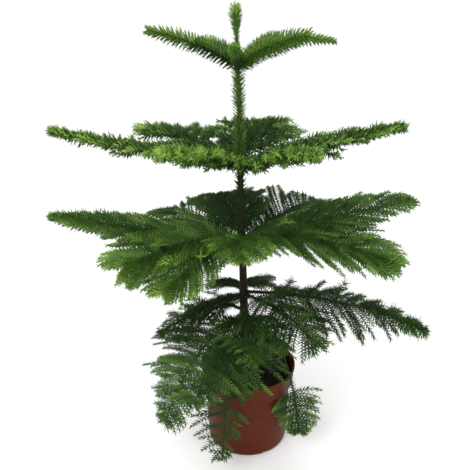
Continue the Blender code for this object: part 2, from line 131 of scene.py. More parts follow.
def trunkCentre(z):
    bowed = max(0, z - trunk["crookFrom"]) / trunk["crookLength"]
    crook = trunk["crook"] * math.sin(math.pi * bowed)
    return Vector((crook - trunk["lean"] * (z - trunk["leanFoot"]), 0, z))


def trunkRadius(z):
    share = (z - trunk["soilTop"]) / (trunk["top"] - trunk["soilTop"])
    radius = trunk["footRadius"] + (trunk["topRadius"] - trunk["footRadius"]) * share
    radius += trunk["flare"] * math.exp(-(z - trunk["soilTop"]) / trunk["flareHeight"])
    for whorl in whorls:
        radius += trunk["swell"] * math.exp(-((z - whorl["height"]) / trunk["swellHeight"]) ** 2)
    return radius


class Axis:
    # the middle line of one frond, from the middle of the trunk (share 0) to its tip (share 1)
    def __init__(self, whorl, index):
        (azimuth, reach, lift, rise, dip, self.spread, self.sag, self.bluntness,
         roll, self.bare, self.thin) = whorl["fronds"][index]
        self.azimuth, self.roll = math.radians(azimuth), math.radians(roll)
        self.radius = whorl["limbRadius"]
        out = Vector((math.cos(self.azimuth), math.sin(self.azimuth), 0))
        offset = trunk["stagger"] * self.radius * (index % 3 - 1)
        chord = math.hypot(reach, lift)
        self.root = trunkCentre(whorl["height"] + offset)
        self.leave, self.arrive = (
            chord * (out * math.cos(math.radians(slope)) + up * math.sin(math.radians(slope)))
            for slope in (rise, dip))
        self.tip = out * reach + up * (lift - offset)

    def point(self, s):
        return (self.root + self.leave * (s ** 3 - 2 * s ** 2 + s)
                + self.tip * (3 * s ** 2 - 2 * s ** 3) + self.arrive * (s ** 3 - s ** 2))

    def direction(self, s):
        return (self.point(s + 0.005) - self.point(s - 0.005)).normalized()

    def side(self, s):
        # towards the frond's left edge, seen from the trunk
        forward = self.direction(s)
        level = up.cross(forward).normalized()
        return level * math.cos(self.roll) + forward.cross(level) * math.sin(self.roll)

    def limbRadius(self, s):
        return self.radius * (1 - growth["limbTaper"] * s) + growth["limbTip"]

    def branchletLength(self, s):
        rooted = growth["rootLength"] + (1 - growth["rootLength"]) * min(1, s / growth["fullFrom"])
        return self.spread * max(0, 1 - s ** self.bluntness) ** growth["tipRounding"] * rooted


# wires between nodes, for materials and geometry alike

# arithmetic on wires, with the wire before or after the other value
def before(operation):
    return lambda wire, other: wire.graph.math(operation, wire, other)


def after(operation):
    return lambda wire, other: wire.graph.math(operation, other, wire)


class Wire:
    def __init__(self, graph, socket):
        self.graph = graph
        self.socket = socket

    __add__, __radd__ = before("ADD"), after("ADD")
    __sub__, __rsub__ = before("SUBTRACT"), after("SUBTRACT")
    __mul__, __rmul__ = before("MULTIPLY"), after("MULTIPLY")
    __pow__ = before("POWER")


class Graph:
    def __init__(self, tree):
        self.tree = tree

    def node(self, kind, settings=None, inputs=None, output=0):
        made = self.tree.nodes.new(kind)
        for name, value in (settings or {}).items():
            if name == "stops":
                ramp = made.color_ramp
                while len(ramp.elements) < len(value):
                    ramp.elements.new(1)
                for element, (place, colour) in zip(ramp.elements, value):
                    element.position = place
                    element.color = (*colour, 1)
            else:
                setattr(made, name, value)
        for key, value in (inputs or {}).items():
            if isinstance(value, Wire):
                self.tree.links.new(value.socket, made.inputs[key])
            else:
                made.inputs[key].default_value = value
        return Wire(self, made.outputs[output])

    def math(self, operation, first, second=0.0):
        return self.node("ShaderNodeMath", {"operation": operation}, {0: first, 1: second})

    def blend(self, share, first, second, how="MIX"):
        return self.node("ShaderNodeMix", {"data_type": "RGBA", "blend_type": how},
                         {"Factor": share, 6: first, 7: second}, output=2)

    def ramp(self, value, stops):
        return self.node("ShaderNodeValToRGB", {"stops": stops}, {0: value})

    def rescale(self, value, low, high, newLow=0.0, newHigh=1.0):
        return self.node("ShaderNodeMapRange", {"clamp": True},
                         {"Value": value, "From Min": low, "From Max": high,
                          "To Min": newLow, "To Max": newHigh})


class Finish(Graph):
    # a material: its object coordinates, noises, and one Principled shader
    def __init__(self, name, **constants):
        self.material = bpy.data.materials.new(name)
        self.material.use_nodes = True
        super().__init__(self.material.node_tree)
        self.shader = self.tree.nodes["Principled BSDF"]
        for socket, value in constants.items():
            self.shader.inputs[socket.replace("_", " ")].default_value = value
        self.place = self.node("ShaderNodeTexCoord", output="Object")

    def cloudy(self, scale, detail=2.0, roughness=0.5, squeeze=(1, 1, 1)):
        place = self.place
        if squeeze != (1, 1, 1):
            place = self.node("ShaderNodeMapping", inputs={"Vector": place, "Scale": squeeze})
        return self.node("ShaderNodeTexNoise", inputs={
            "Vector": place, "Scale": scale, "Detail": detail, "Roughness": roughness})

    def axis(self, letter):
        return self.node("ShaderNodeSeparateXYZ", inputs={0: self.place}, output=letter)

    def feed(self, socket, wire):
        self.tree.links.new(wire.socket, self.shader.inputs[socket])

    def relief(self, height, distance):
        self.feed("Normal", self.node("ShaderNodeBump", inputs={"Height": height, "Distance": distance}))


# finishes

potFinish = {
    "base": (0.072, 0.0115, 0.0022, 1), "dusty": (0.100, 0.0190, 0.0042, 1),
    "stain": (0.046, 0.009, 0.003, 1), "mottleScale": 26, "stainScale": 70, "darkFootHeight": 0.05,
    "scuffScale": 120, "scuffRoughness": (0.36, 0.58), "relief": 0.00012,
}


def makePotFinish():
    f = Finish("terracotta plastic", Specular_IOR_Level=0.12)
    mottle = f.rescale(f.cloudy(potFinish["mottleScale"], 4, 0.6), 0.35, 0.68)
    colour = f.blend(mottle * 0.55, potFinish["base"], potFinish["dusty"])
    # the darker patches show more strongly towards the foot of the pot, over this height
    low = 1 - f.rescale(f.axis("Z"), 0.0, potFinish["darkFootHeight"])
    stain = f.rescale(f.cloudy(potFinish["stainScale"], 4, 0.65), 0.45, 0.75) * (0.25 + 0.5 * low)
    f.feed("Base Color", f.blend(stain, colour, potFinish["stain"]))
    scuffs = f.cloudy(potFinish["scuffScale"], 3, 0.6, (1, 1, 4))
    f.feed("Roughness", f.rescale(scuffs, 0.3, 0.75, *potFinish["scuffRoughness"]))
    f.relief(f.cloudy(900, 2) + f.cloudy(60, 2) * 2, potFinish["relief"])
    return f.material


soilFinish = {"peat": (0.005, 0.0035, 0.0024, 1), "crumb": (0.024, 0.016, 0.010, 1),
              "grainScale": 420, "reliefScale": 520, "relief": 0.0012}


def makeSoilFinish():
    f = Finish("peat soil", Roughness=0.95, Specular_IOR_Level=0.2)
    grains = f.rescale(f.cloudy(soilFinish["grainScale"], 4, 0.7), 0.42, 0.72)
    f.feed("Base Color", f.blend(grains, soilFinish["peat"], soilFinish["crumb"]))
    f.relief(f.cloudy(soilFinish["reliefScale"], 4, 0.7), soilFinish["relief"])
    return f.material


# the colour follows a place in the piece: height on the trunk, distance from it on a limb
trunkBark = {
    "stops": [(0.0, (0.014, 0.013, 0.006)), (0.30, (0.019, 0.017, 0.007)), (0.52, (0.022, 0.025, 0.007)),
              (0.62, (0.024, 0.036, 0.008)), (0.72, (0.032, 0.054, 0.012)), (1.0, (0.045, 0.085, 0.018))],
    "upwards": True, "span": (0.15, 0.84),
}
limbBark = {
    "stops": [(0.0, (0.018, 0.018, 0.008)), (0.35, (0.020, 0.032, 0.010)), (1.0, (0.032, 0.070, 0.016))],
    "upwards": False, "span": (0.0, 0.24),
}
barkLook = {
    "patchScale": 90, "scarScale": 240, "paleScale": 150, "relief": 0.0005,
    "scar": (0.38, 0.33, 0.30, 1), "pale": (1.9, 1.8, 1.6, 1),      # as shares of the colour there
}


def makeBarkFinish(name, bark):
    f = Finish(name, Roughness=0.72, Specular_IOR_Level=0.15)
    place = f.axis("Z") if bark["upwards"] else (f.axis("X") ** 2 + f.axis("Y") ** 2) ** 0.5
    along = f.rescale(place, *bark["span"])
    patchy = f.cloudy(barkLook["patchScale"], 4, 0.6, (1, 1, 0.45))
    base = f.ramp(along + (patchy - 0.5) * 0.16, bark["stops"])
    scars = f.rescale(f.cloudy(barkLook["scarScale"], 3, 0.6, (1, 1, 3.2)), 0.5, 0.66)
    scarred = f.blend(scars * 0.6, base, f.blend(1.0, base, barkLook["scar"], "MULTIPLY"))
    pale = f.rescale(f.cloudy(barkLook["paleScale"], 3, 0.6, (1, 1, 0.3)), 0.60, 0.78)
    worn = f.blend(1.0, scarred, barkLook["pale"], "MULTIPLY")
    f.feed("Base Color", f.blend(pale * 0.35, scarred, worn))
    f.relief(scars * -1.0 + patchy, barkLook["relief"])
    return f.material


# base colour of each kind of needle, darkest and oldest first; the darker ones also serve as painted shade
needleTones = {
    "shade": (0.018, 0.048, 0.008),
    "deep": (0.042, 0.098, 0.016),
    "mid": (0.095, 0.190, 0.032),
    "fresh": (0.190, 0.340, 0.056),
    "tip": (0.290, 0.440, 0.105),
}
tones = list(needleTones)
needleLook = {"patchScale": 55, "lit": (1.22, 1.16, 0.95, 1), "dim": (0.80, 0.85, 0.95, 1)}


def makeNeedleFinish(tone):
    f = Finish(tone + " needles", Roughness=0.58, Specular_IOR_Level=0.15)
    colour = (*needleTones[tone], 1)
    variation = f.rescale(f.cloudy(needleLook["patchScale"], 2, 0.6), 0.3, 0.7)
    lit = f.blend(1.0, colour, needleLook["lit"], "MULTIPLY")
    dim = f.blend(1.0, colour, needleLook["dim"], "MULTIPLY")
    f.feed("Base Color", f.blend(variation, dim, lit))
    return f.material


twigFinish = {"dark": (0.026, 0.044, 0.012, 1), "pale": (0.050, 0.072, 0.020, 1),
              "patchScale": 120, "reliefScale": 900, "relief": 0.0002}


def makeTwigFinish():
    f = Finish("green twigs", Roughness=0.6)
    variation = f.rescale(f.cloudy(twigFinish["patchScale"], 3, 0.6), 0.35, 0.68)
    f.feed("Base Color", f.blend(variation, twigFinish["dark"], twigFinish["pale"]))
    f.relief(f.cloudy(twigFinish["reliefScale"], 2), twigFinish["relief"])
    return f.material


materials = {
    "pot": makePotFinish(),
    "soil": makeSoilFinish(),
    "trunk": makeBarkFinish("trunk bark", trunkBark),
    "limb": makeBarkFinish("limb bark", limbBark),
    "twig": makeTwigFinish(),
}
materials.update({tone: makeNeedleFinish(tone) for tone in needleTones})
print("finishes made", len(materials))


# geometry trees

def newTree(name, numbers, counts):
    # a geometry tree that takes a geometry, named numbers, named whole numbers and a material
    tree = bpy.data.node_groups.new(name, "GeometryNodeTree")
    tree.interface.new_socket("Geometry", in_out="INPUT", socket_type="NodeSocketGeometry")
    tree.interface.new_socket("Geometry", in_out="OUTPUT", socket_type="NodeSocketGeometry")
    for kind, labels in (("Float", numbers), ("Int", counts), ("Material", "Material")):
        for label in labels.split():
            tree.interface.new_socket(label, in_out="INPUT", socket_type="NodeSocket" + kind)
    graph = Graph(tree)
    entry = tree.nodes.new("NodeGroupInput")
    given = {socket.name: Wire(graph, socket) for socket in entry.outputs if socket.name}
    return graph, given


def endTree(graph, given, geometry):
    whole = graph.node("GeometryNodeRealizeInstances", inputs={"Geometry": geometry})
    dressed = graph.node("GeometryNodeSetMaterial", inputs={
        "Geometry": whole, "Material": given["Material"]})
    leave = graph.tree.nodes.new("NodeGroupOutput")
    graph.tree.links.new(dressed.socket, leave.inputs[0])
    return graph.tree


# spans of its width and length, as shares of its twig's, and the radii of its cone's ends
needleShape = {"widths": (0.8, 1.15), "lengths": (0.88, 1.10), "sides": 3, "tip": 0.17, "foot": 0.5}


def makeNeedleTree():
    # needles round a twig; each point's radius is the needle's length and its tilt the angle
    # that the needle opens from the twig. First is where the first one points (0 is down), and
    # after as many as there are ranks, each a turn further, it starts again
    graph, given = newTree(
        "needles on twigs", "Pitch Width Thickness Looseness First Turn Ranks Stray", "Seed")
    opened = graph.node("GeometryNodeStoreNamedAttribute", {"data_type": "FLOAT", "domain": "POINT"}, {
        "Geometry": given["Geometry"], "Name": "opening",
        "Value": graph.node("GeometryNodeInputCurveTilt")})
    cloud = graph.node("GeometryNodeCurveToPoints", {"mode": "LENGTH"}, {
        "Curve": opened, "Length": given["Pitch"]}, output="Points")
    tangent = Wire(graph, cloud.socket.node.outputs["Tangent"])
    index = graph.node("GeometryNodeInputIndex")
    length = graph.node("GeometryNodeInputRadius")
    opening = graph.node("GeometryNodeInputNamedAttribute", {"data_type": "FLOAT"}, {"Name": "opening"})

    def chance(low, high, seed):
        return graph.node("FunctionNodeRandomValue", {"data_type": "FLOAT"}, {
            2: low, 3: high, "ID": index, "Seed": given["Seed"] + seed}, output=1)

    headings = [graph.node("ShaderNodeSeparateXYZ", inputs={0: tangent}, output=axis) for axis in "YX"]
    azimuth = graph.math("ARCTAN2", *headings)
    rank = graph.math("MODULO", index, given["Ranks"])
    spin = azimuth + given["First"] + rank * given["Turn"] + given["Stray"] * chance(-1.0, 1.0, 1)
    lean = opening + given["Looseness"] * chance(-1.0, 1.0, 2)
    turn = graph.node("ShaderNodeCombineXYZ", inputs={"Y": lean, "Z": spin})
    aligned = graph.node("FunctionNodeAlignRotationToVector", {"axis": "Z"}, {"Vector": tangent})
    rotation = graph.node("FunctionNodeRotateRotation", {"rotation_space": "LOCAL"}, {
        "Rotation": aligned, "Rotate By": graph.node("FunctionNodeEulerToRotation", inputs={0: turn})})
    size = chance(*needleShape["lengths"], 3)
    width = given["Width"] * chance(*needleShape["widths"], 4)
    scale = graph.node("ShaderNodeCombineXYZ", inputs={
        "X": given["Thickness"], "Y": width, "Z": length * size})
    needle = graph.node("GeometryNodeMeshCone", {"fill_type": "NGON"}, {
        "Vertices": needleShape["sides"], "Radius Top": needleShape["tip"],
        "Radius Bottom": needleShape["foot"], "Depth": 1.0})
    sprays = graph.node("GeometryNodeInstanceOnPoints", inputs={
        "Points": cloud, "Instance": needle, "Rotation": rotation, "Scale": scale})
    return endTree(graph, given, graph.node("GeometryNodeRemoveAttribute", inputs={
        "Geometry": sprays, "Name": "opening"}))


# knobs and rings are shares of the relief, and wobble how far a ring strays from level
barkShape = {"stretch": (1, 1, 2.6), "knobs": 1.6, "rings": 0.22, "wobbleScale": 60.0, "wobble": 0.004}


def tubeAlong(graph, curve, sides):
    # closed, and as thick as the points' radius
    circle = graph.node("GeometryNodeCurvePrimitiveCircle", {"mode": "RADIUS"}, {
        "Resolution": sides, "Radius": 1.0})
    return graph.node("GeometryNodeCurveToMesh", inputs={
        "Curve": curve, "Profile Curve": circle, "Scale": graph.node("GeometryNodeInputRadius"),
        "Fill Caps": True})


def smoothed(graph, geometry):
    return graph.node("GeometryNodeSetShadeSmooth", inputs={"Geometry": geometry, "Shade Smooth": True})


def makeLimbTree():
    # a tube along a path with the bark's relief
    graph, given = newTree("bark limb", "Step Relief Grain Ring", "Sides")
    fine = graph.node("GeometryNodeResampleCurve", {"mode": "LENGTH"}, {
        "Curve": given["Geometry"], "Length": given["Step"]})
    tube = tubeAlong(graph, fine, given["Sides"])
    place = graph.node("GeometryNodeInputPosition")
    stretched = graph.node("ShaderNodeVectorMath", {"operation": "MULTIPLY"}, {
        0: place, 1: barkShape["stretch"]})
    knobs = graph.node("ShaderNodeTexNoise", inputs={
        "Vector": stretched, "Scale": given["Grain"], "Detail": 3.0, "Roughness": 0.6})
    height = graph.node("ShaderNodeSeparateXYZ", inputs={0: place}, output="Z")
    wobble = graph.node("ShaderNodeTexNoise", inputs={
        "Vector": place, "Scale": barkShape["wobbleScale"], "Detail": 1.0})
    rings = graph.math("SINE", (height + wobble * barkShape["wobble"]) * given["Ring"])
    push = given["Relief"] * ((knobs - 0.5) * barkShape["knobs"] + rings * barkShape["rings"])
    offset = graph.node("ShaderNodeVectorMath", {"operation": "SCALE"}, {
        0: graph.node("GeometryNodeInputNormal"), "Scale": push})
    rough = graph.node("GeometryNodeSetPosition", inputs={"Geometry": tube, "Offset": offset})
    return endTree(graph, given, smoothed(graph, rough))


def makeTwigTree():
    graph, given = newTree("twigs", "", "Sides")
    tube = tubeAlong(graph, given["Geometry"], given["Sides"])
    return endTree(graph, given, smoothed(graph, tube))


def makeCrumbTree():
    # crumbs of peat strewn over the soil
    graph, given = newTree("soil crumbs", "Density Smallest Largest", "Seed")
    spread = graph.node("GeometryNodeDistributePointsOnFaces", {"distribute_method": "RANDOM"}, {
        "Mesh": given["Geometry"], "Density": given["Density"], "Seed": given["Seed"]}, output="Points")
    crumb = graph.node("GeometryNodeMeshIcoSphere", inputs={"Radius": 1.0, "Subdivisions": 1})

    def chance(low, high, seed, kind="FLOAT"):
        slots = (2, 3) if kind == "FLOAT" else (0, 1)
        return graph.node("FunctionNodeRandomValue", {"data_type": kind}, {
            slots[0]: low, slots[1]: high, "Seed": given["Seed"] + seed}, output=slots[0] // 2)

    size = chance(0.0, 1.0, 1) ** 3
    scale = given["Smallest"] + (given["Largest"] - given["Smallest"]) * size
    squash = graph.node("ShaderNodeVectorMath", {"operation": "SCALE"}, {
        0: chance((0.6, 0.6, 0.45), (1.3, 1.3, 0.9), 2, "FLOAT_VECTOR"), "Scale": scale})
    turn = graph.node("FunctionNodeEulerToRotation", inputs={
        0: chance((-1.0, -1.0, 0.0), (1.0, 1.0, 6.3), 3, "FLOAT_VECTOR")})
    return endTree(graph, given, graph.node("GeometryNodeInstanceOnPoints", inputs={
        "Points": spread, "Instance": crumb, "Rotation": turn, "Scale": squash}))


trees = {
    "needle": makeNeedleTree(), "limb": makeLimbTree(), "twig": makeTwigTree(), "crumb": makeCrumbTree(),
}


def addObject(name, data):
    obj = bpy.data.objects.new(name.replace(" ", "_"), data)
    bpy.context.scene.collection.objects.link(obj)
    return obj


def pathsObject(name, paths):
    # paths: for each twig its points as (place, radius, tilt)
    curve = bpy.data.curves.new(name, "CURVE")
    curve.dimensions = "3D"
    for path in paths:
        spline = curve.splines.new("POLY")
        spline.points.add(len(path) - 1)
        spline.points.foreach_set("co", [number for point in path for number in (*point[0], 1)])
        spline.points.foreach_set("radius", [point[1] for point in path])
        spline.points.foreach_set("tilt", [point[2] for point in path])
    return addObject(name, curve)


def grown(name, start, tree, **inputs):
    # runs a geometry tree on an object and keeps the result as a plain mesh
    modifier = start.modifiers.new("Grow", "NODES")
    modifier.node_group = tree
    for item in tree.interface.items_tree:
        if item.in_out == "INPUT" and item.name.lower() in inputs:
            value = inputs[item.name.lower()]
            if item.socket_type == "NodeSocketFloat":
                value = float(value)
            modifier[item.identifier] = value
    start.update_tag()
    bpy.context.view_layer.update()
    graph = bpy.context.evaluated_depsgraph_get()
    mesh = bpy.data.meshes.new_from_object(start.evaluated_get(graph))
    mesh.name = name
    start.modifiers.clear()
    bpy.data.objects.remove(start, do_unlink=True)
    piece = addObject(name, mesh)
    print(f"{name}: {len(mesh.polygons)} faces")
    return piece


def belongs(piece, slot, *nodes):
    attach(piece, "root")
    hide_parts(*nodes)


# pot and soil

pot = {
    "rimRadius": 0.095, "height": 0.171, "bandHeight": 0.038, "bandFootRadius": 0.0905,
    "shoulderDrop": 0.0012, "bodyTopRadius": 0.0852, "footRadius": 0.0802, "footRounding": 0.007,
    "wall": 0.0024, "sides": 144, "flatRadius": 0.04, "bodySteps": 14,
    "bandRounding": 0.0009, "bandRise": 0.0006,     # at the band's foot
    "belly": (0.0012, 0.012),                       # out and up from the band's foot
    "neck": (0.0016, 0.011),                        # in and down from the rim
    "bead": 0.0012, "beadDrop": 0.0052,             # its rounding, and how far below the rim
    "notches": 6, "notchTurn": -65, "notchRadius": 0.015, "notchHeight": 0.006, "notchDepth": 0.026,
    "sharpFrom": math.radians(38),
}
gap = 0.0003


def arc(centre, radius, start, end, steps):
    angles = [math.radians(start + (end - start) * i / steps) for i in range(steps + 1)]
    return [(centre[0] + radius * math.cos(a), centre[1] + radius * math.sin(a)) for a in angles]


def turned(profile, sides):
    bm = bmesh.new()
    verts = [bm.verts.new((radius, 0, height)) for radius, height in profile]
    edges = [bm.edges.new(pair) for pair in zip(verts, verts[1:])]
    bmesh.ops.spin(bm, geom=verts + edges, cent=(0, 0, 0), axis=(0, 0, 1),
                   angle=math.tau, steps=sides, use_merge=True)
    bmesh.ops.remove_doubles(bm, verts=bm.verts, dist=1e-6)
    bmesh.ops.recalc_face_normals(bm, faces=bm.faces)
    return bm


def innerWall(clearance=0.0):
    bandFoot = pot["height"] - pot["bandHeight"]
    wall = pot["wall"] + clearance
    return [(pot["footRadius"] - pot["footRounding"] - clearance, wall),
            (pot["footRadius"] - wall, pot["footRounding"] + clearance),
            (pot["bodyTopRadius"] - wall, bandFoot + pot["shoulderDrop"] + clearance),
            (pot["bandFootRadius"] - wall, bandFoot + pot["wall"] + clearance)]


def meshFrom(name, bm, material):
    mesh = bpy.data.meshes.new(name)
    bm.to_mesh(mesh)
    bm.free()
    mesh.materials.append(material)
    mesh.shade_smooth()
    return mesh


def potProfile():
    # half the pot's section, from the middle of its underside round the lip to the inside
    p = pot
    bandFoot, lip = p["height"] - p["bandHeight"], p["wall"] / 2
    bodyFoot = (p["footRadius"], p["footRounding"])
    bodyTop = (p["bodyTopRadius"], bandFoot - p["shoulderDrop"])
    rounding, bead = p["bandRounding"], p["bead"]
    profile = [(0, 0), (p["flatRadius"], 0)]
    profile += arc((p["footRadius"] - p["footRounding"], p["footRounding"]), p["footRounding"], -90, 0, 8)
    for i in range(1, p["bodySteps"] + 1):
        profile.append(tuple(a + (b - a) * i / p["bodySteps"] for a, b in zip(bodyFoot, bodyTop)))
    profile += arc((p["bandFootRadius"] - rounding, bandFoot + p["bandRise"]), rounding, -75, 0, 4)
    profile.append((p["bandFootRadius"] + p["belly"][0], bandFoot + p["belly"][1]))
    profile.append((p["rimRadius"] - p["neck"][0], p["height"] - p["neck"][1]))
    profile += arc((p["rimRadius"] - bead, p["height"] - p["beadDrop"]), bead, -60, 20, 4)
    profile += arc((p["rimRadius"] - lip, p["height"] - lip), lip, 0, 180, 8)
    return [*profile, *reversed(innerWall()), (0, p["wall"])]


def notchCutters():
    # a collection of lying cylinders that dip into the pot's foot
    p = pot
    cutters = bpy.data.collections.new("drain notches")
    bpy.context.scene.collection.children.link(cutters)
    for i in range(p["notches"]):
        angle = math.radians(p["notchTurn"] + 360 * i / p["notches"])
        bm = bmesh.new()
        bmesh.ops.create_cone(bm, cap_ends=True, segments=32, radius1=p["notchRadius"],
                              radius2=p["notchRadius"], depth=p["notchDepth"])
        out = Vector((math.cos(angle), math.sin(angle), 0))
        turn = up.rotation_difference(out).to_matrix().to_4x4()
        turn.translation = out * p["footRadius"] + up * (p["notchHeight"] - p["notchRadius"])
        bmesh.ops.transform(bm, matrix=turn, verts=bm.verts)
        cutters.objects.link(bpy.data.objects.new("notch", meshFrom("notch", bm, materials["pot"])))
    return cutters


def buildPot():
    shell = turned(potProfile(), pot["sides"])
    body = addObject("pot shell", meshFrom("pot shell", shell, materials["pot"]))
    cutters = notchCutters()
    cut = body.modifiers.new("Notches", "BOOLEAN")
    cut.operation = "DIFFERENCE"
    cut.operand_type = "COLLECTION"
    cut.collection = cutters
    cut.solver = "EXACT"
    bpy.context.view_layer.update()
    mesh = bpy.data.meshes.new_from_object(body.evaluated_get(bpy.context.evaluated_depsgraph_get()))
    for used in (*cutters.objects, body):
        bpy.data.objects.remove(used, do_unlink=True)
    bpy.data.collections.remove(cutters)
    mesh.shade_smooth()
    mesh.set_sharp_from_angle(angle=pot["sharpFrom"])
    piece = addObject("flower pot", mesh)
    belongs(piece, "terracotta_plastic", "pot")
    print("pot made", len(mesh.polygons))


soil = {
    "top": 0.150, "roughness": 0.0042, "lumpScale": 90, "mound": 0.0016, "rings": 46, "sides": 110,
    "level": 0.004,     # it evens out over this width along the pot
    "bedLift": 0.0018, "crumbDensity": 60000, "smallestCrumb": 0.0007, "largestCrumb": 0.0042,
}


def buildSoil():
    # the fill, and its rough top with crumbs on it
    wall = innerWall(gap)
    rim = pot["rimRadius"] - pot["wall"] - gap
    share = (soil["top"] - wall[-1][1]) / (pot["height"] - wall[-1][1])
    edge = wall[-1][0] + share * (rim - wall[-1][0])
    top = [(edge * (1 - i / soil["rings"]), soil["top"]) for i in range(soil["rings"])]
    bm = turned([(0, pot["wall"] + gap), *wall, *top, (0, soil["top"])], soil["sides"])
    for vert in bm.verts:
        radius = math.hypot(vert.co.x, vert.co.y)
        if vert.co.z > soil["top"] - gap:
            lump = noise.fractal(vert.co * soil["lumpScale"], 0.9, 2.0, 4) * soil["roughness"] * 0.5
            vert.co.z += (lump + soil["mound"]) * min(1, (edge - radius) / soil["level"])
    piece = addObject("soil fill", meshFrom("soil fill", bm, materials["soil"]))
    belongs(piece, "potting_soil", "soil")
    seedBed = bmesh.new()
    bmesh.ops.create_circle(seedBed, cap_ends=True, segments=64, radius=edge - soil["level"])
    bmesh.ops.translate(seedBed, vec=(0, 0, soil["top"] + soil["bedLift"]), verts=seedBed.verts)
    bed = addObject("bed", meshFrom("bed", seedBed, materials["soil"]))
    crumbs = grown("peat crumbs", bed, trees["crumb"], density=soil["crumbDensity"],
                   smallest=soil["smallestCrumb"], largest=soil["largestCrumb"], seed=5,
                   material=materials["soil"])
    belongs(crumbs, "potting_soil", "soil")


buildPot()
buildSoil()


# trunk and limbs

trunkShape = {"step": 0.0014, "sides": 40, "relief": 0.00055, "grain": 420, "ring": 2 * math.pi / 0.0034}
limbShape = {"step": 0.0028, "sides": 10, "relief": 0.00032, "grain": 520, "ring": 2 * math.pi / 0.003}
trunkPath = {"foot": 0.146, "tip": 0.8385, "steps": 260}
limbPath = {"from": 0.01, "to": 0.975, "steps": 40, "collar": 0.5, "collarReach": 0.009}


def buildTrunk():
    p = trunkPath
    heights = [p["foot"] + (p["tip"] - p["foot"]) * i / p["steps"] for i in range(p["steps"] + 1)]
    points = [(trunkCentre(z), trunkRadius(max(z, trunk["soilTop"])), 0) for z in heights]
    piece = grown("bark trunk", pathsObject("trunk path", [points]), trees["limb"],
                  material=materials["trunk"], **trunkShape)
    belongs(piece, "bark", "trunk")


def limbPoints(axis):
    # a limb's middle line, a little stouter where it leaves the trunk
    p = limbPath
    shares = [p["from"] + (p["to"] - p["from"]) * i / p["steps"] for i in range(p["steps"] + 1)]
    collar = [1 + p["collar"] * math.exp(-(s * axis.tip.length / p["collarReach"]) ** 2) for s in shares]
    return [(axis.point(s), axis.limbRadius(s) * c, 0) for s, c in zip(shares, collar)]


buildTrunk()
axes = {whorl["name"]: [Axis(whorl, i) for i in range(len(whorl["fronds"]))] for whorl in whorls}


# sprays: branchlets and their needles

# each whorl's branchlets: pitch from one to the next, turn in degrees from the limb at its root
# and how many fewer at its tip, its jitter, forward bend, spans of lengths and lift, droop as a
# share of the solids' sag, arch as the lift added at the back, and the share that is upright;
# their needles; and how fresh the whorl is, how much lighter its front is painted (painted light
# on the front, painted shade at the back), how much fresher its branchlets' tips are, how much
# lighter those on top are painted (painted light from above, painted shade under them), and how
# much fresher the outer ones are
sprays = {
    "top": {
        "axisNeedle": 0.0172, "width": 0.0029, "needlePitch": 0.00032, "needleFrom": 0.04, "round": True,
        "opening": math.radians(66), "fresh": 1.04, "front": 0.05, "contrast": 1.5},
    "upper": {
        "pitch": 0.0068, "turn": (66, 22), "jitter": 9, "forward": 0.20, "lengths": (0.74, 1.06),
        "lift": (-0.38, 0.50), "droop": 1.0, "arch": 0.1, "upright": 0,
        "axisNeedle": 0.0175, "twigNeedle": 0.0118, "width": 0.0025, "needlePitch": 0.00120,
        "needleFrom": 0.015, "round": True,
        "fresh": 0.50, "front": 0.28, "contrast": 2.0, "lit": 1.6, "outer": 0.50},
    "middle": {
        "pitch": 0.0042, "turn": (64, 24), "jitter": 6, "forward": 0.26, "lengths": (0.84, 1.06),
        "lift": (-0.02, 0.24), "droop": 0.5, "arch": 0.22, "upright": 0.05,
        "axisNeedle": 0.0115, "twigNeedle": 0.0094, "width": 0.0020, "needlePitch": 0.00145,
        "needleFrom": 0.03, "round": False,
        "fresh": 0.28, "front": 0.34, "contrast": 1.0, "lit": 0.5, "outer": 0.40},
    "lower": {
        "pitch": 0.0056, "turn": (84, 34), "jitter": 8, "forward": 0.10, "lengths": (0.74, 1.06),
        "lift": (-0.05, 0.30), "droop": 1.5, "arch": 0.55, "upright": 0.07,
        "axisNeedle": 0.0125, "twigNeedle": 0.0102, "width": 0.0019, "needlePitch": 0.00135,
        "needleFrom": 0.03, "round": False,
        "fresh": -0.29, "front": 0.30, "contrast": 0.6, "lit": 0.4, "outer": 0.55},
    "lowest": {
        "pitch": 0.0050, "turn": (92, 6), "jitter": 10, "forward": 0.12, "lengths": (0.68, 1.06),
        "lift": (-0.05, 0.14), "droop": 1.0, "arch": 0.2, "upright": 0,
        "axisNeedle": 0.0110, "twigNeedle": 0.0092, "width": 0.0020, "needlePitch": 0.00145,
        "needleFrom": 0.03, "round": False,
        "fresh": -0.20, "front": 0.30, "contrast": 0.9, "lit": 0.5, "outer": 0.7},
}

